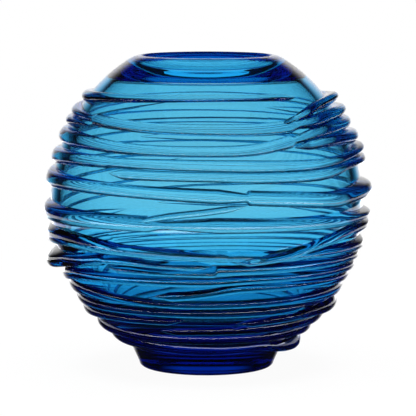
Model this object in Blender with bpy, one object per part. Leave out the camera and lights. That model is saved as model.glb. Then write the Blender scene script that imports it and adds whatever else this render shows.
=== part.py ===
"""Blue blown-glass globe vase, wound with trails of clear glass. Metres, +Z up, standing on z = 0.

Longitude is counted in degrees from the front (-Y) towards +X, and latitude from the globe's widest ring.
"""

import math
from collections import namedtuple

import bmesh
import bpy
import numpy
from mathutils import Vector

MM = 0.001

# Globe, outside
VASE_HEIGHT = 250 * MM
GLOBE_RADIUS = 125 * MM
EQUATOR_HEIGHT = 128.5 * MM
UNDERSIDE_DEPTH = 125 * MM
UNDERSIDE_DRAWN_IN = 0.024

# Globe, inside
WALL = 7.5 * MM
SHOULDER_WALL = 8 * MM
BASE_THICKNESS = 27 * MM

# Lip and mouth
LIP_OUTER_RADIUS = 63.5 * MM
LIP_RIDGE_RADIUS = 53 * MM
MOUTH_RADIUS = 51 * MM
LIP_OUTER_DROP = 4 * MM
LIP_INNER_DROP = 5 * MM
THROAT_LENGTH = 3 * MM
INNER_SHOULDER_LATITUDE = 50.5

# Foot
FOOT_HEIGHT = 20 * MM
FOOT_RADIUS = 54.5 * MM
FOOT_EDGE_ROUND = 4 * MM

# Trails
SEAT_GAP = 0.3 * MM
TRAIL_GAP = 0.5 * MM
CROSSING_ROOM = 5 * MM
SIDE_SPREAD = 0.5
TAIL_SHARES = (0.45, 0.8)
RAMP_SHARES = (1.0, 1.0, 0.67, 0.33)
TRAIL_SECTION = ((-1, 0), (0, 0), (1, 0), (0.65, 0.75), (-0.15, 1), (-0.85, 0.7))

# Facets
SEGMENTS = 45
OUTSIDE_STEPS = 24
INSIDE_STEPS = 10
CURVE_STEPS = 4

Trail = namedtuple("Trail", "name width height route swells")
Section = namedtuple("Section", "meridian latitude half height lift")

# Laid in this order. A route is (longitude, latitude), and its longitude runs on past 360 for further turns.
# A swell is (longitude, degrees it fades over, extra height), where the trail stands out from the globe.
TRAILS = (
    Trail("trail_shoulder", 10 * MM, 5 * MM, (
        (-165, 37), (-90, 35), (-60, 33.5), (-30, 31.7), (0, 31.1), (25, 31), (45, 32), (60, 33.5),
        (90, 34.6), (150, 34.4)), ((80, 40, 4 * MM),)),
    Trail("trail_crown", 7 * MM, 4.8 * MM, (
        (31, 31.7), (45, 35), (60, 38.1), (90, 39.5), (180, 40), (270, 41), (315, 42.2), (360, 43.1),
        (390, 42.8), (408, 42.4)), ((75, 35, 6 * MM),)),
    Trail("trail_upper", 10 * MM, 5 * MM, (
        (36, 24), (60, 25.2), (90, 25), (180, 25.5), (270, 26), (300, 25.3), (330, 23.9), (360, 23.6),
        (378, 24), (396, 26.4), (405, 27.9), (420, 29.4), (450, 30.3), (540, 30.7), (630, 31), (665, 30.8)),
        ((88, 30, 3 * MM), (440, 35, 2.5 * MM))),
    Trail("trail_high", 10 * MM, 5 * MM, (
        (-38, 15.5), (0, 15.3), (15, 14.8), (30, 14.5), (45, 14.4), (55, 15), (65, 16.2), (90, 16.8),
        (180, 17.5), (270, 18.4), (300, 19), (330, 19.1), (360, 18.9), (390, 18.1), (405, 17.9),
        (420, 18.5), (435, 19.6), (450, 20.4), (540, 21.2), (570, 21.5)),
        ((90, 30, 2.5 * MM), (450, 30, 4 * MM))),
    Trail("trail_equator", 11 * MM, 5.5 * MM, (
        (-170, 12.4), (-90, 11), (-60, 10.8), (-30, 10.2), (0, 9.2), (30, 7.5), (50, 6), (60, 6.3),
        (75, 7.1), (90, 7.1), (180, 4.1), (270, 0), (330, -0.1), (360, -0.2), (405, -1), (450, -1.4),
        (540, -4.1), (560, -4.8)), ((88, 32, 3 * MM), (450, 30, 1.2 * MM))),
    Trail("trail_bridge", 5 * MM, 3 * MM, (
        (-26, 0.3), (-14, 2.5), (0, 4.1), (14, 5.8)), ()),
    Trail("trail_low", 10 * MM, 5.5 * MM, (
        (-145, -6.7), (-90, -9), (-60, -8.1), (-30, -9.8), (0, -10.9), (20, -11.7), (45, -12), (90, -12.2),
        (180, -15), (270, -18), (300, -16), (323, -13.7), (345, -14.4), (363, -14.9)),
        ((268, 28, 7.5 * MM),)),
    Trail("trail_sweep", 7 * MM, 4.5 * MM, (
        (8, -13.2), (20, -12), (30, -10.9), (45, -8.4), (60, -6.1), (75, -5), (90, -4.9), (150, -5.6)),
        ((90, 30, 1.5 * MM),)),
    Trail("trail_bowl", 8 * MM, 4.5 * MM, (
        (-40, -17), (0, -16.5), (60, -16.1), (90, -16.5), (180, -19), (270, -24.6), (285, -23.3),
        (300, -21.7), (330, -21), (360, -20.9), (375, -20.2), (390, -20), (450, -20.4), (540, -22.8),
        (590, -25)), ()),
    Trail("trail_under", 8 * MM, 3.5 * MM, (
        (-22, -27.6), (-10, -26.9), (0, -25.7), (8, -24.5), (15, -23.9), (45, -24), (60, -24.3),
        (90, -24.8), (180, -26.6), (270, -28.8), (300, -28.8), (330, -30.1), (345, -30.6), (360, -30.6),
        (420, -30), (450, -30.3), (540, -31.9), (630, -34.3), (690, -34.6), (750, -34.6), (770, -34.3)),
        ()),
    Trail("trail_deep", 8 * MM, 4.5 * MM, (
        (14, -40.4), (20, -39.6), (30, -38.8), (60, -37.7), (90, -36.3), (180, -37.2), (270, -39.2),
        (300, -38.8), (350, -38.3)), ((85, 30, 2.5 * MM),)),
    Trail("trail_foot", 8 * MM, 3.6 * MM, (
        (-24, -44.4), (0, -43.7), (60, -43.3), (90, -42.8), (180, -44.4), (270, -47.1), (300, -48.1),
        (330, -49.1), (390, -49.1), (420, -48.8), (450, -49.8), (540, -52), (630, -54.4), (690, -56.3),
        (720, -56.8), (750, -57), (775, -56.4), (795, -55.4), (830, -54.6)), ((790, 40, 5.5 * MM),)),
)

# Glass: colour, roughness
BLUE_GLASS = ((0.03, 0.35, 0.65, 1), 0.03)
CLEAR_GLASS = ((0.86, 0.93, 0.96, 1), 0.02)
GLASS_IOR = 1.52


def clear_scene():
    for item in list(bpy.data.objects):
        bpy.data.objects.remove(item, do_unlink=True)


def glass(name, colour, roughness):
    material = bpy.data.materials.new(name)
    material.use_nodes = True
    shader = material.node_tree.nodes["Principled BSDF"]
    shader.inputs["Base Color"].default_value = colour
    shader.inputs["Roughness"].default_value = roughness
    shader.inputs["Metallic"].default_value = 0
    shader.inputs["IOR"].default_value = GLASS_IOR
    shader.inputs["Transmission Weight"].default_value = 1
    return material


def add_part(name, bm, material, parent):
    """Close a bmesh into a named, smooth-shaded part of the vase."""
    bmesh.ops.recalc_face_normals(bm, faces=bm.faces)
    mesh = bpy.data.meshes.new(name)
    bm.to_mesh(mesh)
    bm.free()
    mesh.shade_smooth()
    mesh.materials.append(material)
    part = bpy.data.objects.new(name, mesh)
    part.parent = parent
    bpy.context.collection.objects.link(part)
    return part


# The globe's outside is a half sphere below its widest ring, a little drawn in half way to the foot, and a
# taller half ellipse above it.

def shoulder_rise():
    """Upper half axis that carries the outside to the lip."""
    lip_bottom = VASE_HEIGHT - LIP_OUTER_DROP - EQUATOR_HEIGHT
    return lip_bottom / math.sqrt(1 - (LIP_OUTER_RADIUS / GLOBE_RADIUS) ** 2)


def ellipse_point(radius, rise, drop, latitude):
    """Point (r, z) of a profile made of two half ellipses that meet at the widest ring."""
    angle = math.radians(latitude)
    axis = rise if latitude > 0 else drop
    return Vector((radius * math.cos(angle), EQUATOR_HEIGHT + axis * math.sin(angle)))


def outside_point(latitude):
    point = ellipse_point(GLOBE_RADIUS, shoulder_rise(), UNDERSIDE_DEPTH, latitude)
    if latitude < 0:
        point.x *= 1 - UNDERSIDE_DRAWN_IN * math.sin(math.radians(3 * latitude)) ** 2
    return point


def inside_point(latitude):
    rise = shoulder_rise() - SHOULDER_WALL
    drop = EQUATOR_HEIGHT - BASE_THICKNESS
    return ellipse_point(GLOBE_RADIUS - WALL, rise, drop, latitude)


def along(point_at, latitude):
    """Unit direction of a profile towards the mouth, and metres run per degree."""
    step = 0.01
    run = point_at(latitude + step) - point_at(latitude - step)
    return run.normalized(), run.length / (2 * step)


def outward(latitude):
    direction, _ = along(outside_point, latitude)
    return Vector((direction.y, -direction.x))


def latitude_at_height(height):
    """Latitude of the globe's underside at a height above the table."""
    return -math.degrees(math.asin((EQUATOR_HEIGHT - height) / UNDERSIDE_DEPTH))


def latitude_at_lip():
    return math.degrees(math.acos(LIP_OUTER_RADIUS / GLOBE_RADIUS))


def curve_between(start, start_handle, end_handle, end):
    """Points of a smooth curve from start to end, without start itself."""
    points = []
    for step in range(1, CURVE_STEPS + 1):
        t = step / CURVE_STEPS
        points.append(start * (1 - t) ** 3 + start_handle * (3 * t * (1 - t) ** 2)
                      + end_handle * (3 * t * t * (1 - t)) + end * t ** 3)
    return points


def spread(first, last, steps):
    return [first + (last - first) * step / steps for step in range(steps + 1)]


def foot_profile():
    """Flat bottom, rounded edge and tapered side, up to the globe."""
    flat = Vector((FOOT_RADIUS - FOOT_EDGE_ROUND, 0))
    corner = Vector((FOOT_RADIUS, 0))
    side = Vector((FOOT_RADIUS, FOOT_EDGE_ROUND))
    edge = curve_between(flat, (flat + corner) / 2, (corner + side) / 2, side)
    return [Vector((0, 0)), flat] + edge


def lip_profile():
    """From the outside of the shoulder over the lip's ridge and down the throat to the inside."""
    outer = outside_point(latitude_at_lip())
    outer_way, _ = along(outside_point, latitude_at_lip())
    ridge = Vector((LIP_RIDGE_RADIUS, VASE_HEIGHT))
    throat_top = Vector((MOUTH_RADIUS, VASE_HEIGHT - LIP_INNER_DROP))
    throat_bottom = throat_top - Vector((0, THROAT_LENGTH))
    inner = inside_point(INNER_SHOULDER_LATITUDE)
    inner_way, _ = along(inside_point, INNER_SHOULDER_LATITUDE)
    outer_reach = (outer - ridge).length / 3
    round_in = (ridge.x - throat_top.x) * 0.55
    round_down = LIP_INNER_DROP * 0.55
    inner_reach = (inner - throat_bottom).length / 3
    points = curve_between(outer, outer + outer_way * outer_reach, ridge + Vector((outer_reach, 0)), ridge)
    points += curve_between(ridge, ridge - Vector((round_in, 0)), throat_top + Vector((0, round_down)),
                            throat_top)
    points.append(throat_bottom)
    points += curve_between(throat_bottom, throat_bottom - Vector((0, inner_reach)),
                            inner + inner_way * inner_reach, inner)
    return points


def globe_profile():
    """The whole turned profile, from the middle of the bottom round to the middle of the inside."""
    outside = [outside_point(latitude) for latitude in
               spread(latitude_at_height(FOOT_HEIGHT), latitude_at_lip(), OUTSIDE_STEPS)]
    upper_inside = spread(INNER_SHOULDER_LATITUDE, 0, INSIDE_STEPS)[1:]
    lower_inside = spread(0, -90, INSIDE_STEPS)[1:]
    inside = [inside_point(latitude) for latitude in upper_inside + lower_inside]
    inside[-1].x = 0
    return foot_profile() + outside + lip_profile() + inside


def turned(profile):
    """Spin a profile of (r, z) points once round the vase's axis, from the front."""
    bm = bmesh.new()
    corners = [bm.verts.new((0, -point.x, point.y)) for point in profile]
    edges = [bm.edges.new(pair) for pair in zip(corners, corners[1:])]
    bmesh.ops.spin(bm, geom=corners + edges, axis=(0, 0, 1), cent=(0, 0, 0), angle=math.tau, steps=SEGMENTS,
                   use_merge=True)
    bmesh.ops.remove_doubles(bm, verts=bm.verts, dist=0.001 * MM)
    return bm


# The trails, which lie on the globe, squeeze past their neighbours and climb over what they cross.

def route_latitude(route, longitude):
    """Smooth latitude at a longitude, through the route's own points."""
    last = len(route) - 2
    span = next((i for i in range(last) if longitude <= route[i + 1][0]), last)
    (start, low), (end, high) = route[span], route[span + 1]
    before = route[max(span - 1, 0)]
    after = route[min(span + 2, last + 1)]
    start_slope = (high - before[1]) / (end - before[0])
    end_slope = (after[1] - low) / (after[0] - start)
    width = end - start
    t = (longitude - start) / width
    return ((2 * t ** 3 - 3 * t ** 2 + 1) * low + (t ** 3 - 2 * t ** 2 + t) * width * start_slope
            + (3 * t ** 2 - 2 * t ** 3) * high + (t ** 3 - t ** 2) * width * end_slope)


def tail_share(index, count):
    """How much of its full size a trail has near either of its drawn-out ends."""
    from_end = min(index, count - 1 - index)
    return TAIL_SHARES[from_end] if from_end < len(TAIL_SHARES) else 1


def spread_share(longitude):
    """How much wider a trail lies at the sides of the vase than in front."""
    return 1 + SIDE_SPREAD * math.sin(math.radians(longitude)) ** 4


def swollen_height(trail, longitude):
    """The trail's height where it is laid down loosely and stands out."""
    extra = 0
    for middle, reach, height in trail.swells:
        extra += height * math.cos(math.pi / 2 * min(abs(longitude - middle) / reach, 1)) ** 2
    return trail.height + extra


def plain_sections(trail):
    """The trail's sections at the globe's own meridians, before they meet any neighbour."""
    step = 360 / SEGMENTS
    first = math.ceil(trail.route[0][0] / step)
    last = math.floor(trail.route[-1][0] / step)
    count = last - first + 1
    sections = []
    for index in range(count):
        longitude = (first + index) * step
        share = tail_share(index, count)
        latitude = route_latitude(trail.route, longitude)
        half = trail.width / 2 * share * spread_share(longitude)
        height = swollen_height(trail, longitude) * share
        sections.append(Section(first + index, latitude, half, height, 0))
    return sections


def room_between(one, other):
    return (outside_point(one.latitude) - outside_point(other.latitude)).length


def squeezed(section, neighbours):
    """The section made narrow enough to lie beside its neighbours."""
    half = section.half
    for other in neighbours:
        room = room_between(section, other)
        if room >= CROSSING_ROOM:
            half = min(half, (room - TRAIL_GAP) / 2)
    return section._replace(half=half)


def lift_over(section, laid):
    """Height that a section climbs to clear what already lies under it."""
    tops = [other.lift + other.height + TRAIL_GAP for other in laid
            if room_between(section, other) < CROSSING_ROOM]
    return max(tops, default=0)


def with_ramps(lifts):
    """Spread each lift along the trail so that it climbs and comes down gently."""
    reach = range(-len(RAMP_SHARES) + 1, len(RAMP_SHARES))
    ramped = []
    for index in range(len(lifts)):
        near = [lifts[index + way] * RAMP_SHARES[abs(way)] for way in reach if 0 <= index + way < len(lifts)]
        ramped.append(max(near))
    return ramped


def by_meridian(runs):
    """All sections of these trails, listed under the meridian that each lies on."""
    found = {meridian: [] for meridian in range(SEGMENTS)}
    for run in runs:
        for section in run:
            found[section.meridian % SEGMENTS].append(section)
    return found


def laid_trails():
    """Every trail's sections, squeezed between neighbours and lifted over the trails laid before it."""
    plain = [plain_sections(trail) for trail in TRAILS]
    everywhere = by_meridian(plain)
    laid = []
    for run in plain:
        below = by_meridian(laid)
        fitted = []
        for section in run:
            place = section.meridian % SEGMENTS
            neighbours = [other for other in everywhere[place] if other is not section]
            lift = lift_over(section, below[place])
            fitted.append(squeezed(section, neighbours)._replace(lift=lift))
        lifts = with_ramps([section.lift for section in fitted])
        laid.append([section._replace(lift=lift) for section, lift in zip(fitted, lifts)])
    return laid


def section_ring(section):
    """Corners of one domed section, seated on the globe or lifted off it."""
    longitude = math.tau * section.meridian / SEGMENTS
    _, metres_per_degree = along(outside_point, section.latitude)
    ring = []
    for across, up in TRAIL_SECTION:
        latitude = section.latitude + across * section.half / metres_per_degree
        point = outside_point(latitude) + outward(latitude) * (SEAT_GAP + section.lift + up * section.height)
        ring.append(Vector((point.x * math.sin(longitude), -point.x * math.cos(longitude), point.y)))
    return ring


def trail_body(rings):
    """Skin the rings into one closed tube with capped ends."""
    bm = bmesh.new()
    loops = [[bm.verts.new(corner) for corner in ring] for ring in rings]
    for ring, following in zip(loops, loops[1:]):
        for side in range(len(ring)):
            after = (side + 1) % len(ring)
            bm.faces.new((ring[side], ring[after], following[after], following[side]))
    bm.faces.new(loops[0])
    bm.faces.new(loops[-1])
    return bm


def least_gap_to_itself(rings):
    """Least distance, on points, between parts of a trail that lie half a turn or more apart along it."""
    points = numpy.array([[tuple(corner) for corner in ring] for ring in rings])
    least = math.inf
    for index in range(len(rings) - SEGMENTS // 2):
        later = points[index + SEGMENTS // 2:].reshape(-1, 3)
        apart = numpy.linalg.norm(later[:, None, :] - points[index][None, :, :], axis=2)
        least = min(least, float(apart.min()))
    return least


def build_vase():
    clear_scene()
    vase = bpy.data.objects.new("vase", None)
    bpy.context.collection.objects.link(vase)
    blue = glass("blue_glass", *BLUE_GLASS)
    clear = glass("clear_glass", *CLEAR_GLASS)
    add_part("globe", turned(globe_profile()), blue, vase)
    for trail, sections in zip(TRAILS, laid_trails()):
        rings = [section_ring(section) for section in sections]
        add_part(trail.name, trail_body(rings), clear, vase)
        turns = (len(rings) - 1) / SEGMENTS
        gap = least_gap_to_itself(rings)
        passing = f"least gap to itself {gap / MM:.2f} mm" if gap < math.inf else "never passes itself"
        print(f"{trail.name}: {turns:.2f} turns, {passing}")


build_vase()
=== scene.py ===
# %% [markdown]
# # A blue globe vase wound with clear glass trails
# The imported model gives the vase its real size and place. This lesson dresses it: a finer globe, trails
# with rounded backs that melt into the wall, two kinds of glass, and the white studio that the glass needs
# around it.

import math
from functools import lru_cache

import bmesh
import bpy
import numpy as np
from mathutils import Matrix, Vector


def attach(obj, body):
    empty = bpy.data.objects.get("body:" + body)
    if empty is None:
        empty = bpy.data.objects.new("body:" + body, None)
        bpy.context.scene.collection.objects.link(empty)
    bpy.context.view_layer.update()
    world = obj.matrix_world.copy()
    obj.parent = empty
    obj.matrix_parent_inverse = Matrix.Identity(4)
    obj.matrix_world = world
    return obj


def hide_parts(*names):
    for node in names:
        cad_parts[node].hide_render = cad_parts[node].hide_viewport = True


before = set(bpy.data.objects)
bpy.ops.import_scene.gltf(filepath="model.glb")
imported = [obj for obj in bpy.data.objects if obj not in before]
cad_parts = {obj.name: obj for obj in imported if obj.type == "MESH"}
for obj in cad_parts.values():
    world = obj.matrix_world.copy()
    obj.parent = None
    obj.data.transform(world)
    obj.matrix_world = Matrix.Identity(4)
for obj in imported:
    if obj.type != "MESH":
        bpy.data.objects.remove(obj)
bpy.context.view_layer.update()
MM = 0.001

# %% [markdown]
# ## The camera
# The photograph looks as if it was taken from about two metres away with a long lens, a little above the
# vase. A long lens keeps the globe round: close up, its lip would look wider and its foot narrower.

# %% Camera
CAMERA_DISTANCE = 1.975
CAMERA_HEIGHT = 0.357
CAMERA_ASIDE = 0.0012
CAMERA_PITCH = 6.64
LENS_MM = 214.2

camera = bpy.data.objects.new("camera", bpy.data.cameras.new("camera"))
camera.location = (CAMERA_ASIDE, -CAMERA_DISTANCE, CAMERA_HEIGHT)
camera.rotation_euler = (math.radians(90 - CAMERA_PITCH), 0, 0)
camera.data.lens = LENS_MM
bpy.context.scene.collection.objects.link(camera)
bpy.context.scene.camera = camera
print("camera", tuple(round(value, 3) for value in camera.location), "lens", LENS_MM, "mm")

# %% [markdown]
# ## The globe's outline
# A blown globe is not a ball: the lower half is round and the upper half is drawn up to the lip. It could
# be a curve drawn by hand, but two half ellipses that meet at the widest ring give that outline with few
# sizes, and the same functions later carry the trails, so that both agree. Places on it are latitudes from
# the widest ring and longitudes from the front, towards the right, in degrees.

# %% Sizes of the globe
VASE_HEIGHT = 250 * MM
GLOBE_RADIUS = 125 * MM
EQUATOR_HEIGHT = 128.5 * MM
UNDERSIDE_DEPTH = 125 * MM
UNDERSIDE_DRAWN_IN = 0.024
INSIDE_DRAWN_IN = 0.045
DRAWN_IN_LATITUDE = 30
WALL = 7.5 * MM
SHOULDER_WALL = 8 * MM
BASE_THICKNESS = 27 * MM
LIP_OUTER_RADIUS = 63.5 * MM
LIP_RIDGE_RADIUS = 53 * MM
MOUTH_RADIUS = 51 * MM
LIP_OUTER_DROP = 4 * MM
LIP_INNER_DROP = 5 * MM
THROAT_LENGTH = 3 * MM
INNER_SHOULDER_LATITUDE = 50.5
FOOT_HEIGHT = 20 * MM
FOOT_RADIUS = 54.5 * MM
FOOT_EDGE_ROUND = 4 * MM
LIP_LATITUDE = math.degrees(math.acos(LIP_OUTER_RADIUS / GLOBE_RADIUS))
SHOULDER_RISE = (VASE_HEIGHT - LIP_OUTER_DROP - EQUATOR_HEIGHT) / math.sin(math.radians(LIP_LATITUDE))
print("shoulder half axis", round(SHOULDER_RISE / MM, 1), "mm, lip at latitude", round(LIP_LATITUDE, 1))

# %% Points of the outline


def half_ellipse(radius, axis, drawn_in, latitude):
    """Point (r, z) of a half ellipse, drawn in by a share that is full at DRAWN_IN_LATITUDE."""
    angle = math.radians(latitude)
    narrowing = drawn_in * math.sin(90 / DRAWN_IN_LATITUDE * angle) ** 2
    return Vector((radius * math.cos(angle) * (1 - narrowing), EQUATOR_HEIGHT + axis * math.sin(angle)))


def outside_point(latitude):
    """Point (r, z) of the globe's outside."""
    if latitude > 0:
        return half_ellipse(GLOBE_RADIUS, SHOULDER_RISE, 0, latitude)
    return half_ellipse(GLOBE_RADIUS, UNDERSIDE_DEPTH, UNDERSIDE_DRAWN_IN, latitude)


def inside_point(latitude):
    """Point (r, z) of the globe's inside: the wall grows thicker towards the base."""
    if latitude > 0:
        return half_ellipse(GLOBE_RADIUS - WALL, SHOULDER_RISE - SHOULDER_WALL, 0, latitude)
    return half_ellipse(GLOBE_RADIUS - WALL, EQUATOR_HEIGHT - BASE_THICKNESS, INSIDE_DRAWN_IN, latitude)


def along(point_at, latitude):
    """Unit direction of an outline towards the mouth, and metres run per degree."""
    step = 0.01
    run = point_at(latitude + step) - point_at(latitude - step)
    return run.normalized(), run.length / (2 * step)


def outward(latitude):
    """Unit direction straight out of the globe's outside."""
    direction, _ = along(outside_point, latitude)
    return Vector((direction.y, -direction.x))


print("widest ring", outside_point(0), "inside", inside_point(0))

# %% [markdown]
# ## The globe as one turned piece
# Foot, globe and lip are one gather of glass, so one profile runs from the middle of the bottom over the
# lip to the middle of the inside, and a spin closes it. The wall has both its faces, because glass bends
# light at each of them.

# %% Globe profile
CURVE_STEPS = 14
OUTSIDE_STEPS = 360
INSIDE_STEPS = 50
GLOBE_SEGMENTS = 360
ROUND_HANDLE = 0.55


def curve_between(start, start_handle, end_handle, end):
    """Points of a smooth curve from start to end, without start itself."""
    shares = [step / CURVE_STEPS for step in range(1, CURVE_STEPS + 1)]
    return [start * (1 - t) ** 3 + start_handle * (3 * t * (1 - t) ** 2)
            + end_handle * (3 * t * t * (1 - t)) + end * t ** 3 for t in shares]


def foot_profile():
    """From the middle of the bottom round the foot's lower edge."""
    flat = Vector((FOOT_RADIUS - FOOT_EDGE_ROUND, 0))
    corner = Vector((FOOT_RADIUS, 0))
    side = Vector((FOOT_RADIUS, FOOT_EDGE_ROUND))
    return [Vector((0, 0)), flat] + curve_between(flat, (flat + corner) / 2, (corner + side) / 2, side)


def lip_profile():
    """From the shoulder over the ridge and down the throat to the inside."""
    outer = outside_point(LIP_LATITUDE)
    outer_way, _ = along(outside_point, LIP_LATITUDE)
    ridge = Vector((LIP_RIDGE_RADIUS, VASE_HEIGHT))
    throat_top = Vector((MOUTH_RADIUS, VASE_HEIGHT - LIP_INNER_DROP))
    throat_bottom = throat_top - Vector((0, THROAT_LENGTH))
    inner = inside_point(INNER_SHOULDER_LATITUDE)
    inner_way, _ = along(inside_point, INNER_SHOULDER_LATITUDE)
    outer_reach = (outer - ridge).length / 3
    inner_reach = (inner - throat_bottom).length / 3
    round_in = Vector(((ridge.x - throat_top.x) * ROUND_HANDLE, 0))
    round_down = Vector((0, LIP_INNER_DROP * ROUND_HANDLE))
    throat_way = Vector((0, inner_reach))
    points = curve_between(outer, outer + outer_way * outer_reach, ridge + Vector((outer_reach, 0)), ridge)
    points += curve_between(ridge, ridge - round_in, throat_top + round_down, throat_top)
    points.append(throat_bottom)
    points += curve_between(throat_bottom, throat_bottom - throat_way, inner + inner_way * inner_reach, inner)
    return points


def globe_profile():
    """The whole section, from the middle of the bottom to the middle of the inside."""
    foot_latitude = -math.degrees(math.asin((EQUATOR_HEIGHT - FOOT_HEIGHT) / UNDERSIDE_DEPTH))
    outside = [outside_point(step) for step in np.linspace(foot_latitude, LIP_LATITUDE, OUTSIDE_STEPS)]
    upper = [inside_point(step) for step in np.linspace(INNER_SHOULDER_LATITUDE, 0, INSIDE_STEPS)[1:]]
    lower = [inside_point(step) for step in np.linspace(0, -90, INSIDE_STEPS)[1:]]
    lower[-1].x = 0
    return foot_profile() + outside + lip_profile() + upper + lower


profile = globe_profile()
print(len(profile), "points in the globe's profile")

# %% Spin the globe


def finished_piece(name, bm):
    """Turn a bmesh into a smooth piece."""
    bmesh.ops.recalc_face_normals(bm, faces=bm.faces)
    mesh = bpy.data.meshes.new(name)
    bm.to_mesh(mesh)
    bm.free()
    mesh.shade_smooth()
    piece = bpy.data.objects.new(name, mesh)
    bpy.context.scene.collection.objects.link(piece)
    print(name, len(mesh.polygons), "faces")
    return piece


def turned(name, section):
    """Turn a section (r, z), whose two ends lie on the axis, into a closed piece."""
    bm = bmesh.new()
    foot_middle = bm.verts.new((0, 0, section[0].y))
    inside_middle = bm.verts.new((0, 0, section[-1].y))
    turns = [math.tau * step / GLOBE_SEGMENTS for step in range(GLOBE_SEGMENTS)]
    columns = [[bm.verts.new((point.x * math.sin(turn), -point.x * math.cos(turn), point.y))
                for point in section[1:-1]] for turn in turns]
    for column, following in zip(columns, columns[1:] + columns[:1]):
        bm.faces.new((foot_middle, column[0], following[0]))
        bm.faces.new((inside_middle, column[-1], following[-1]))
        for row in range(len(column) - 1):
            bm.faces.new((column[row], column[row + 1], following[row + 1], following[row]))
    return finished_piece(name, bm)


globe = turned("blown_globe", profile)

# %% [markdown]
# ## The trails
# Each trail is a bit of clear glass, drawn out hot and laid on the turning globe. A bevelled curve would
# give it one section all along. Here each section is worked out by itself, because a soft trail changes its
# shape wherever it meets another.
#
# A trail has its width, its height, its route and its swells. The route is a list of longitudes and
# latitudes, and longitudes run on past 360 where it goes round again. A swell has the
# longitude of its middle, its reach to either side in degrees, and the height that it adds.

# %% Routes
TRAILS = {
    "shoulder": (10 * MM, 5 * MM, (
        (-165, 37), (-90, 35), (-60, 33.5), (-30, 31.7), (0, 31.1), (25, 31), (45, 32), (60, 33.5),
        (90, 34.6), (150, 34.4)), ((80, 40, 4 * MM),)),
    "crown": (7 * MM, 4.8 * MM, (
        (31, 31.7), (45, 35), (60, 38.1), (90, 39.5), (180, 40), (270, 41), (315, 42.2), (360, 43.1),
        (390, 42.8), (408, 42.4)), ((75, 35, 6 * MM),)),
    "upper": (10 * MM, 5 * MM, (
        (36, 24), (60, 25.2), (90, 25), (180, 25.5), (270, 26), (300, 25.3), (330, 23.9), (360, 23.6),
        (378, 24), (396, 26.4), (405, 27.9), (420, 29.4), (450, 30.3), (540, 30.7), (630, 31), (665, 30.8)),
        ((88, 30, 3 * MM), (440, 35, 2.5 * MM))),
    "high": (10 * MM, 5 * MM, (
        (-38, 15.5), (0, 15.3), (15, 14.8), (30, 14.5), (45, 14.4), (55, 15), (65, 16.2), (90, 16.8),
        (180, 17.5), (270, 18.4), (300, 19), (330, 19.1), (360, 18.9), (390, 18.1), (405, 17.9),
        (420, 18.5), (435, 19.6), (450, 20.4), (540, 21.2), (570, 21.5)),
        ((90, 30, 2.5 * MM), (450, 30, 4 * MM))),
    "equator": (11 * MM, 5.5 * MM, (
        (-170, 12.4), (-90, 11), (-60, 10.8), (-30, 10.2), (0, 9.2), (30, 7.5), (50, 6), (60, 6.3),
        (75, 7.1), (90, 7.1), (180, 4.1), (270, 0), (330, -0.1), (360, -0.2), (405, -1), (450, -1.4),
        (540, -4.1), (560, -4.8)), ((88, 32, 3 * MM), (450, 30, 1.2 * MM))),
    "bridge": (5 * MM, 3 * MM, (
        (-26, 0.3), (-14, 2.5), (0, 4.1), (14, 5.8)), ()),
    "low": (10 * MM, 5.5 * MM, (
        (-145, -6.7), (-90, -9), (-60, -8.1), (-30, -9.8), (0, -10.9), (20, -11.7), (45, -12), (90, -12.2),
        (180, -15), (270, -18), (300, -16), (323, -13.7), (345, -14.4), (363, -14.9)),
        ((268, 28, 7.5 * MM),)),
    "sweep": (7 * MM, 4.5 * MM, (
        (8, -13.2), (20, -12), (30, -10.9), (45, -8.4), (60, -6.1), (75, -5), (90, -4.9), (150, -5.6)),
        ((90, 30, 1.5 * MM),)),
    "bowl": (8 * MM, 4.5 * MM, (
        (-40, -17), (0, -16.5), (60, -16.1), (90, -16.5), (180, -19), (270, -24.6), (285, -23.3),
        (300, -21.7), (330, -21), (360, -20.9), (375, -20.2), (390, -20), (450, -20.4), (540, -22.8),
        (590, -25)), ()),
    "under": (8 * MM, 3.5 * MM, (
        (-22, -27.6), (-10, -26.9), (0, -25.7), (8, -24.5), (15, -23.9), (45, -24), (60, -24.3),
        (90, -24.8), (180, -26.6), (270, -28.8), (300, -28.8), (330, -30.1), (345, -30.6), (360, -30.6),
        (420, -30), (450, -30.3), (540, -31.9), (630, -34.3), (690, -34.6), (750, -34.6), (770, -34.3)),
        ()),
    "deep": (8 * MM, 4.5 * MM, (
        (14, -40.4), (20, -39.6), (30, -38.8), (60, -37.7), (90, -36.3), (180, -37.2), (270, -39.2),
        (300, -38.8), (350, -38.3)), ((85, 30, 2.5 * MM),)),
    "foot": (8 * MM, 3.6 * MM, (
        (-24, -44.4), (0, -43.7), (60, -43.3), (90, -42.8), (180, -44.4), (270, -47.1), (300, -48.1),
        (330, -49.1), (390, -49.1), (420, -48.8), (450, -49.8), (540, -52), (630, -54.4), (690, -56.3),
        (720, -56.8), (750, -57), (775, -56.4), (795, -55.4), (830, -54.6)), ((790, 40, 5.5 * MM),)),
}
all_turns = sum((route[-1][0] - route[0][0]) / 360 for _, _, route, _ in TRAILS.values())
print(len(TRAILS), "trails,", round(all_turns, 1), "turns in all")

# %% Where a trail lies


def route_latitude(route, longitude):
    """Smooth latitude at a longitude, through the route's own points."""
    last = len(route) - 2
    span = next((i for i in range(last) if longitude <= route[i + 1][0]), last)
    (start, low), (end, high) = route[span], route[span + 1]
    before = route[max(span - 1, 0)]
    after = route[min(span + 2, last + 1)]
    width = end - start
    start_slope = (high - before[1]) / (end - before[0]) * width
    end_slope = (after[1] - low) / (after[0] - start) * width
    t = (longitude - start) / width
    return ((2 * t ** 3 - 3 * t ** 2 + 1) * low + (t ** 3 - 2 * t ** 2 + t) * start_slope
            + (3 * t ** 2 - 2 * t ** 3) * high + (t ** 3 - t ** 2) * end_slope)


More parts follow.
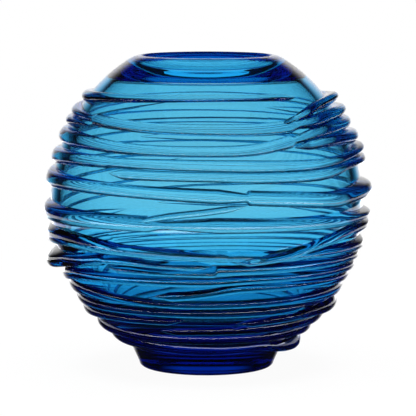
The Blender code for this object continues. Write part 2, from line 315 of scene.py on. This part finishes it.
def passes(longitude):
    """Each trail, as often as it passes a longitude, with the degrees it has travelled by then."""
    found = []
    for name, (_, _, route, _) in TRAILS.items():
        first = math.ceil((route[0][0] - longitude) / 360)
        last = math.floor((route[-1][0] - longitude) / 360)
        found += [(name, longitude + 360 * turn) for turn in range(first, last + 1)]
    return found


print("the front is crossed", len(passes(0)), "times")

# %% [markdown]
# A trail that ends near the front ends in a short point. Elsewhere it was drawn out into a long, thin tail.

# %% Ends of a trail
FRONT_REACH = 53
POINT_LENGTH = 14 * MM
TAIL_LENGTH = 45 * MM
END_BLUNTNESS = 0.3 * MM
END_POWER = 0.75


def end_share(end, degrees, latitude):
    """How full a trail is so many degrees from one of its ends, which lies at the longitude end."""
    in_front = math.cos(math.radians(end)) > math.cos(math.radians(FRONT_REACH))
    length = POINT_LENGTH if in_front else TAIL_LENGTH
    away = degrees * math.radians(1) * outside_point(latitude).x + END_BLUNTNESS
    return min(away / length, 1) ** END_POWER


print("fullness one degree from an end in front:", round(end_share(0, 1, 0), 2))

# %% [markdown]
# A trail is soft when it is laid, so it gives way: it is squeezed narrower beside another trail, it humps up
# over a trail that was laid before it, and its own width wobbles with the turning of the pipe. At the two
# sides of the vase the trails spread wider. In front and behind they lie lower, because at full height they
# bend too much of the view through the vase: the full trails a little, the others to half their height.

# %% How wide and how high a trail is
SIDE_SPREAD = 0.5
WOBBLE = 0.1
WOBBLES_PER_TURN = 2.3
WOBBLE_SHIFT = 1.7
CROSSING_ROOM = 3 * MM
BESIDE_ROOM = 6 * MM
SHARE_OF_ROOM = 0.53
FRONT_HEIGHT = 0.5
FULL_FRONT_HEIGHT = 0.9
FULL_TRAILS = ("equator", "bridge", "low", "sweep", "bowl", "under", "deep", "foot")
LAYING_ORDER = list(TRAILS)


def smooth_step(low, high, value):
    share = min(max((value - low) / (high - low), 0), 1)
    return share * share * (3 - 2 * share)


@lru_cache(maxsize=None)
def trail_size(name, travelled):
    """Latitude, half width and height of a trail after so many degrees of its way."""
    width, height, route, swells = TRAILS[name]
    latitude = route_latitude(route, travelled)
    _, run = along(outside_point, latitude)
    half = width / 2 * (1 + SIDE_SPREAD * math.sin(math.radians(travelled)) ** 4)
    hump = 0
    for other, other_travelled in passes(travelled % 360):
        if other == name and other_travelled == travelled:
            continue
        other_width, other_height, other_route, _ = TRAILS[other]
        room = abs(route_latitude(other_route, other_travelled) - latitude) * run
        beside = min(half, SHARE_OF_ROOM * room)
        half += (beside - half) * smooth_step(CROSSING_ROOM, BESIDE_ROOM, room)
        if LAYING_ORDER.index(other) < LAYING_ORDER.index(name):
            reach = (width + other_width) / 2
            hump = max(hump, other_height * max(0, 1 - (room / reach) ** 2) ** 2)
    for middle, reach, extra in swells:
        height += extra * math.cos(math.pi / 2 * min(abs(travelled - middle) / reach, 1)) ** 2
    front = FULL_FRONT_HEIGHT if name in FULL_TRAILS else FRONT_HEIGHT
    height *= front ** math.cos(math.radians(travelled)) ** 2
    shift = WOBBLE_SHIFT * LAYING_ORDER.index(name)
    wobble = 1 + WOBBLE * math.sin(math.radians(travelled * WOBBLES_PER_TURN) + shift)
    fullness = min(end_share(end, abs(travelled - end), latitude) for end in (route[0][0], route[-1][0]))
    return latitude, half * wobble * fullness, (height + hump) * fullness


print("half width and height of the equator trail in front, in mm:",
      [round(value / MM, 1) for value in trail_size("equator", 0)[1:]])

# %% [markdown]
# The section is a lopsided dome: its crest lies below its middle, with a steep side under it and a slower
# slope over it. Its underside is sunk a little into the wall, as a hot bit sinks in. The round trails have
# the same back all the way, and the backs of the others are flatter in front and behind.

# %% One section of a trail
SINK = 0.4 * MM
ROUND_TRAILS = ("low", "sweep", "bowl", "under", "deep", "foot")
CREST = -0.15
ROUND_BACK = 2.6
FLAT_BACK = 4
LOWER_POWER = 0.5
UPPER_POWER = 1.0
SIDE_CORNERS = 11


def flatness(name, travelled):
    """The power of a trail's dome: the higher, the flatter the back."""
    pressed = 0 if name in ROUND_TRAILS else math.cos(math.radians(travelled)) ** 2
    return ROUND_BACK + (FLAT_BACK - ROUND_BACK) * pressed


def dome(power, across):
    """Height share at places across a trail: -1 is its lower edge and 1 its upper edge."""
    above = across > CREST
    share = np.where(above, (across - CREST) / (1 - CREST), (CREST - across) / (1 + CREST))
    return (1 - np.clip(share, 0, 1) ** power) ** np.where(above, UPPER_POWER, LOWER_POWER)


def footprint(power, height):
    """Where the section of a trail comes out of the wall, below and above, as shares across."""
    sunk = SINK / (height + SINK)
    lower = CREST - (1 + CREST) * (1 - sunk ** (1 / LOWER_POWER)) ** (1 / power)
    upper = CREST + (1 - CREST) * (1 - sunk ** (1 / UPPER_POWER)) ** (1 / power)
    return lower, upper


def section_corners():
    """Shares across of the corners on a trail's back, from its lower to its upper edge."""
    turns = np.linspace(0, math.pi / 2, SIDE_CORNERS)
    lower = CREST - (1 + CREST) * np.cos(turns) ** (2 / FLAT_BACK)
    upper = CREST + (1 - CREST) * np.sin(turns[1:]) ** (2 / FLAT_BACK)
    return np.concatenate([lower, upper])


CORNERS = section_corners()
# Shares across of the two corners under the trail.
UNDERSIDE = np.array([0.5, -0.5])
print(len(CORNERS) + len(UNDERSIDE), "corners in a section")

# %% [markdown]
# ## Melted together
# Where a trail is melted on, there is no face left between it and the wall, and light goes straight on. A
# boolean union would do that too, but would join the pieces into one. So each corner of the meshes carries a
# number, free_skin: above zero where the surface meets the air, below zero where it is buried in another
# piece. The glass then lets the buried faces vanish.

# %% Lay the trails


def height_of(name, travelled, latitudes):
    """How high a trail stands over the wall at some latitudes of one meridian."""
    latitude, half, height = trail_size(name, travelled)
    _, run = along(outside_point, latitude)
    return (height + SINK) * dome(flatness(name, travelled), (latitudes - latitude) * run / half) - SINK


def world_point(longitude, latitude, rise):
    """Place so far over the globe's outside."""
    point = outside_point(latitude) + outward(latitude) * rise
    angle = math.radians(longitude)
    return point.x * math.sin(angle), -point.x * math.cos(angle), point.y


def trail_ring(name, travelled):
    """Corners of one section, and how free each one is."""
    latitude, half, height = trail_size(name, travelled)
    _, run = along(outside_point, latitude)
    latitudes = latitude + CORNERS * half / run
    rises = (height + SINK) * dome(flatness(name, travelled), CORNERS) - SINK
    covers = [height_of(other, gone, latitudes) for other, gone in passes(travelled % 360)
              if (other, gone) != (name, travelled)]
    free = np.minimum(rises, rises - np.max(covers, axis=0)) if covers else rises
    ring = [world_point(travelled, *pair) for pair in zip(latitudes, rises)]
    ring += [world_point(travelled, latitude + across * half / run, -SINK) for across in UNDERSIDE]
    return ring, list(free) + [-SINK] * len(UNDERSIDE)


def lay_trail(name):
    """One trail, with a section at each degree of its route."""
    route = TRAILS[name][2]
    bm = bmesh.new()
    skin = bm.verts.layers.float.new("free_skin")
    loops = []
    for travelled in range(route[0][0], route[-1][0] + 1):
        corners, free = trail_ring(name, travelled)
        ring = [bm.verts.new(corner) for corner in corners]
        for vert, value in zip(ring, free):
            vert[skin] = value / MM
        loops.append(ring)
    for ring, following in zip(loops, loops[1:]):
        for side in range(len(ring)):
            after = (side + 1) % len(ring)
            bm.faces.new((ring[side], ring[after], following[after], following[side]))
    bm.faces.new(loops[0])
    bm.faces.new(loops[-1])
    return finished_piece(f"{name}_trail", bm)


trail_pieces = {name: lay_trail(name) for name in TRAILS}

# %% The globe's free skin
FAR_FROM_TRAILS = -100.0
SKIN_TOLERANCE = 0.05 * MM


def buried(longitude, latitudes):
    """Millimetres inside the trails' footprints, along one meridian of the wall: below zero in the open."""
    deepest = np.full(len(latitudes), FAR_FROM_TRAILS)
    for name, travelled in passes(longitude):
        latitude, half, height = trail_size(name, travelled)
        _, run = along(outside_point, latitude)
        across = (latitudes - latitude) * run / half
        lower, upper = footprint(flatness(name, travelled), height)
        deepest = np.maximum(deepest, np.minimum(across - lower, upper - across) * half / MM)
    return deepest


def mark_free_skin(piece):
    """Mark the outside of the globe, between foot and lip, with free_skin."""
    values = np.full(len(piece.data.vertices), 1.0)
    columns = {}
    for vert in piece.data.vertices:
        x, y, z = vert.co
        radius = math.hypot(x, y)
        axis = SHOULDER_RISE if z > EQUATOR_HEIGHT else UNDERSIDE_DEPTH
        latitude = math.degrees(math.asin(min(max((z - EQUATOR_HEIGHT) / axis, -1), 1)))
        if (outside_point(latitude) - Vector((radius, z))).length < SKIN_TOLERANCE:
            segment = round(math.degrees(math.atan2(x, -y)) * GLOBE_SEGMENTS / 360)
            longitude = segment * 360 // GLOBE_SEGMENTS % 360
            columns.setdefault(longitude, []).append((vert.index, latitude))
    for longitude, rows in columns.items():
        indices, latitudes = zip(*rows)
        values[list(indices)] = -buried(longitude, np.array(latitudes))
    attribute = piece.data.attributes.new("free_skin", "FLOAT", "POINT")
    attribute.data.foreach_set("value", values)
    print("corners of the globe under trails:", int((values < 0).sum()), "of", len(values))


mark_free_skin(globe)

# %% [markdown]
# ## Glass
# Glass has next to no colour on its surface. The blue is in the mass: light loses red first, then green, the
# further it goes, so a thick base looks navy and a thin wall looks cyan. A tinted surface would colour thick
# and thin alike, so the blue is an absorbing volume behind a clear surface.

# %% Node helpers


def linear(colour):
    """sRGB hex to the linear values that shaders use."""
    channels = [int(colour[place:place + 2], 16) / 255 for place in (1, 3, 5)]
    return [c / 12.92 if c <= 0.04045 else ((c + 0.055) / 1.055) ** 2.4 for c in channels] + [1]


def add_node(tree, kind, inputs=None, **settings):
    """Add one node: settings are its properties, inputs its sockets, as values or as links."""
    node = tree.nodes.new(kind)
    for name, value in settings.items():
        setattr(node, name, value)
    for socket, value in (inputs or {}).items():
        if isinstance(value, bpy.types.NodeSocket):
            tree.links.new(value, node.inputs[socket])
        else:
            node.inputs[socket].default_value = value
    return node


def new_tree(owner):
    """Give a material or a world an empty node tree."""
    owner.use_nodes = True
    owner.node_tree.nodes.clear()
    return owner.node_tree


WHITE = linear("#FFFFFF")
print("middle grey in linear light:", round(linear("#808080")[0], 3))

# %% Fire-polished glass
GLASS_IOR = 1.5
WAVE_FLATTENING = 2.5


def fire_polished_glass(name, wave_mm, wave_depth):
    """Clear, mirror-smooth glass with the slow flat waves that working it hot leaves in its skin."""
    material = bpy.data.materials.new(name)
    tree = new_tree(material)
    place = add_node(tree, "ShaderNodeTexCoord")
    flattened = add_node(tree, "ShaderNodeMapping", {
        "Vector": place.outputs["Object"],
        "Scale": (1, 1, WAVE_FLATTENING),
    })
    waves = add_node(tree, "ShaderNodeTexNoise", {
        "Vector": flattened.outputs["Vector"],
        "Scale": 1 / (wave_mm * MM),
        "Detail": 1,
    })
    bump = add_node(tree, "ShaderNodeBump", {
        "Height": waves.outputs["Fac"],
        "Strength": 1,
        "Distance": wave_depth,
    })
    skin = add_node(tree, "ShaderNodeAttribute", attribute_name="free_skin")
    free = add_node(tree, "ShaderNodeMath", {0: skin.outputs["Fac"], 1: 0}, operation="GREATER_THAN")
    surface = add_node(tree, "ShaderNodeBsdfPrincipled", {
        "Base Color": WHITE,
        "Roughness": 0,
        "IOR": GLASS_IOR,
        "Transmission Weight": 1,
        "Normal": bump.outputs["Normal"],
        "Alpha": free.outputs[0],
    })
    add_node(tree, "ShaderNodeOutputMaterial", {"Surface": surface.outputs["BSDF"]})
    return material


print("light is", GLASS_IOR, "times slower in this glass than in air")

# %% Blue and clear glass
BLUE_TINT = linear("#00DFF5")
BLUE_DENSITY = 140
GLOBE_WAVE_MM = 45
GLOBE_WAVE_DEPTH = 0.05 * MM
TRAIL_WAVE_MM = 20
TRAIL_WAVE_DEPTH = 0.02 * MM

# Blue soda-lime glass, blown: a wet gleam on the skin, cyan where it is thin and navy where it is thick.
blue_glass = fire_polished_glass("blue_blown_glass", GLOBE_WAVE_MM, GLOBE_WAVE_DEPTH)
blue_tree = blue_glass.node_tree
blue_mass = add_node(blue_tree, "ShaderNodeVolumeAbsorption", {"Color": BLUE_TINT, "Density": BLUE_DENSITY})
blue_output = blue_tree.get_output_node("ALL")
blue_tree.links.new(blue_mass.outputs["Volume"], blue_output.inputs["Volume"])
# Colourless soda-lime glass, drawn out hot: it shows only by its gleams and by how it bends what lies behind.
clear_glass = fire_polished_glass("clear_trail_glass", TRAIL_WAVE_MM, TRAIL_WAVE_DEPTH)
print("made", blue_glass.name, "and", clear_glass.name)

# %% Give each piece its glass and its place on the vase
globe.data.materials.append(blue_glass)
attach(globe, "root")
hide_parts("globe")
for trail_name, piece in trail_pieces.items():
    piece.data.materials.append(clear_glass)
    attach(piece, "root")
    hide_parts(f"trail_{trail_name}")
print(len(trail_pieces) + 1, "pieces dressed")

# %% [markdown]
# ## The studio
# Clear things show their surroundings, so what stands round the vase counts for more than what lights it.
# White sheets in a dark room fill the glass with light, and the dark over and between them draws the dark
# edges of the trails. Through the glass show a sheet behind the vase and one all round its front, with a dark
# gap at either side of the back. The skin of the glass mirrors one smaller sheet behind. All else, such as
# the floor and the open background, gets even white.

# %% World
# The edges of each white sheet, in degrees: where it is still white, and where the room is dark.
SHEET_BEHIND = {"top": (12, 20), "bottom": (-62, -80), "sides": (13, 34)}
SHEET_IN_FRONT = {"top": (12, 20), "bottom": (-62, -80), "back": (4, 20)}
SHEET_MIRRORED = {"top": (14, 30), "bottom": (-8, -25), "sides": (13, 34), "front": (10, -10)}
DIM_ROOM = 0.015

world = bpy.data.worlds.new("white_studio")
bpy.context.scene.world = world
sky = new_tree(world)
direction = add_node(sky, "ShaderNodeTexCoord")
way = add_node(sky, "ShaderNodeSeparateXYZ", {"Vector": direction.outputs["Generated"]})
sideways = add_node(sky, "ShaderNodeMath", {0: way.outputs["X"]}, operation="ABSOLUTE")
READINGS = {
    "top": way.outputs["Z"],
    "bottom": way.outputs["Z"],
    "sides": sideways.outputs[0],
    "front": way.outputs["Y"],
    "back": way.outputs["Y"],
}
rooms = []
for sheets in ((SHEET_BEHIND, SHEET_IN_FRONT), (SHEET_MIRRORED,)):
    level = DIM_ROOM
    for edges in sheets:
        sheet = 1
        for edge, (white, dark) in edges.items():
            share = add_node(sky, "ShaderNodeMapRange", {
                "Value": READINGS[edge],
                "From Min": math.sin(math.radians(dark)),
                "From Max": math.sin(math.radians(white)),
            }, interpolation_type="SMOOTHSTEP")
            product = add_node(sky, "ShaderNodeMath", {0: share.outputs[0], 1: sheet}, operation="MULTIPLY")
            sheet = product.outputs[0]
        level = add_node(sky, "ShaderNodeMath", {0: sheet, 1: level}, operation="MAXIMUM").outputs[0]
    rooms.append(add_node(sky, "ShaderNodeBackground", {"Color": WHITE, "Strength": level}))
room_through, room_mirrored = rooms
even = add_node(sky, "ShaderNodeBackground", {"Color": WHITE, "Strength": 1})
ray = add_node(sky, "ShaderNodeLightPath")
mirrored = add_node(sky, "ShaderNodeMixShader", {
    0: ray.outputs["Is Glossy Ray"],
    1: even.outputs[0],
    2: room_mirrored.outputs[0],
})
through = add_node(sky, "ShaderNodeMixShader", {
    0: ray.outputs["Is Transmission Ray"],
    1: mirrored.outputs[0],
    2: room_through.outputs[0],
})
add_node(sky, "ShaderNodeOutputWorld", {"Surface": through.outputs[0]})
print(len(sky.nodes), "nodes make the room")

# %% [markdown]
# The floor is a round of white paper that fades out towards its edge, so that no horizon shows. Under the
# foot its colour is painted dark, a painted shadow for the shade where hardly any light gets, and the thick
# base shows that dark spot.

# %% Floor
FLOOR_RADIUS = 1.2
FLOOR_SEGMENTS = 96
FLOOR_GAP = 0.3 * MM

bm = bmesh.new()
bmesh.ops.create_circle(bm, cap_ends=True, radius=FLOOR_RADIUS, segments=FLOOR_SEGMENTS)
floor_mesh = bpy.data.meshes.new("floor")
bm.to_mesh(floor_mesh)
bm.free()
floor = bpy.data.objects.new("floor", floor_mesh)
floor.location.z = -FLOOR_GAP
floor.visible_glossy = False
bpy.context.scene.collection.objects.link(floor)
print("floor", 2 * FLOOR_RADIUS, "m across")

# %% White paper
FADE_START = 0.3
FADE_END = 1.0
# Painted shadow under the foot: within these radii from the middle, the paper's colour is darkened almost to
# black.
PAINTED_SHADOW_RADIUS = 0.075
PAINTED_SHADOW_END = 0.12
PAINTED_SHADOW_LEVEL = 0.03
PAPER_REFLECTS = 0.98
WHITE_SHARE = 0.96

# Matt white paper: it throws light back evenly, and takes a soft shadow. The camera gets mostly plain white
# from it, so that it runs into the background.
paper = bpy.data.materials.new("white_paper")
paper_tree = new_tree(paper)
spot = add_node(paper_tree, "ShaderNodeTexCoord")
from_middle = add_node(paper_tree, "ShaderNodeVectorMath", {0: spot.outputs["Object"]}, operation="LENGTH")
fade = add_node(paper_tree, "ShaderNodeMapRange", {
    "Value": from_middle.outputs["Value"],
    "From Min": FADE_START,
    "From Max": FADE_END,
}, interpolation_type="SMOOTHSTEP")
# Painted shadow: the paper's own colour is made dark under the foot, in place of the shade there.
shade = add_node(paper_tree, "ShaderNodeMapRange", {
    "Value": from_middle.outputs["Value"],
    "From Min": PAINTED_SHADOW_RADIUS,
    "From Max": PAINTED_SHADOW_END,
    "To Min": PAINTED_SHADOW_LEVEL,
    "To Max": PAPER_REFLECTS,
}, interpolation_type="SMOOTHSTEP")
grey = add_node(paper_tree, "ShaderNodeCombineColor", {channel: shade.outputs[0] for channel in range(3)})
matt = add_node(paper_tree, "ShaderNodeBsdfDiffuse", {"Color": grey.outputs[0]})
plain = add_node(paper_tree, "ShaderNodeEmission", {"Color": WHITE, "Strength": 1})
path = add_node(paper_tree, "ShaderNodeLightPath")
seen = add_node(paper_tree, "ShaderNodeMath", {
    0: path.outputs["Is Camera Ray"],
    1: WHITE_SHARE,
}, operation="MULTIPLY")
shaded = add_node(paper_tree, "ShaderNodeMixShader", {
    0: seen.outputs[0],
    1: matt.outputs[0],
    2: plain.outputs[0],
})
gone = add_node(paper_tree, "ShaderNodeBsdfTransparent")
faded = add_node(paper_tree, "ShaderNodeMixShader", {
    0: fade.outputs[0],
    1: shaded.outputs[0],
    2: gone.outputs[0],
})
add_node(paper_tree, "ShaderNodeOutputMaterial", {"Surface": faded.outputs[0]})
floor.data.materials.append(paper)
print("made", paper.name)

# %% [markdown]
# Low strips of light stand round the vase, just above the floor. Their mirror images are the thin white lines
# that run along the trails, on the side of each trail that looks a little downwards. They are kept out of the
# view through the glass, where they would show as white panes.

# %% Strip lights
STRIP_LENGTH = 0.4
STRIP_HEIGHT = 0.08
STRIP_MIDDLE = 0.045
STRIP_DISTANCE = 0.55
FRONT_RADIANCE = 4.5
BACK_RADIANCE = 1.5
STRIP_BEARINGS = (-140, -100, -60, -20, 20, 60, 100, 140)

# The power of a flat lamp is its radiance times its area times pi.
for bearing in STRIP_BEARINGS:
    radiance = FRONT_RADIANCE if abs(bearing) < 90 else BACK_RADIANCE
    strip = bpy.data.lights.new("strip_light", "AREA")
    strip.shape = "RECTANGLE"
    strip.size = STRIP_LENGTH
    strip.size_y = STRIP_HEIGHT
    strip.energy = radiance * STRIP_LENGTH * STRIP_HEIGHT * math.pi
    lamp = bpy.data.objects.new("strip_light", strip)
    turn = math.radians(bearing)
    lamp.location = (STRIP_DISTANCE * math.sin(turn), -STRIP_DISTANCE * math.cos(turn), STRIP_MIDDLE)
    lamp.rotation_euler = (math.radians(90), 0, turn)
    lamp.visible_camera = False
    lamp.visible_transmission = False
    bpy.context.scene.collection.objects.link(lamp)
print(len(STRIP_BEARINGS), "strip lights")

# %% [markdown]
# A broad light hangs over the vase. The glass is so curved that some of what is seen through the lower half
# comes from there. It is kept out of mirror images, because it would draw a square on the shoulder.

# %% Light from above
TOP_SIZE = 0.8
TOP_HEIGHT = 0.9
TOP_RADIANCE = 1.4

top_light = bpy.data.lights.new("top_light", "AREA")
top_light.shape = "SQUARE"
top_light.size = TOP_SIZE
top_light.energy = TOP_RADIANCE * TOP_SIZE ** 2 * math.pi
top_lamp = bpy.data.objects.new("top_light", top_light)
top_lamp.location = (0, 0, TOP_HEIGHT)
top_lamp.visible_camera = False
top_lamp.visible_glossy = False
bpy.context.scene.collection.objects.link(top_lamp)
print("one light from above,", TOP_HEIGHT, "m over the floor")

# %% [markdown]
# ## Light paths
# A ray that goes through the vase meets both faces of two walls, and those of the trails on them. Each face
# is a bounce, and each buried face one that is let through, so both counts are set high: a path that is cut
# off short turns black.

# %% Light paths and colour
scene = bpy.context.scene
scene.view_settings.view_transform = "Standard"
scene.cycles.max_bounces = 32
scene.cycles.transmission_bounces = 32
scene.cycles.glossy_bounces = 16
scene.cycles.transparent_max_bounces = 64
print("up to", scene.cycles.max_bounces, "bounces")
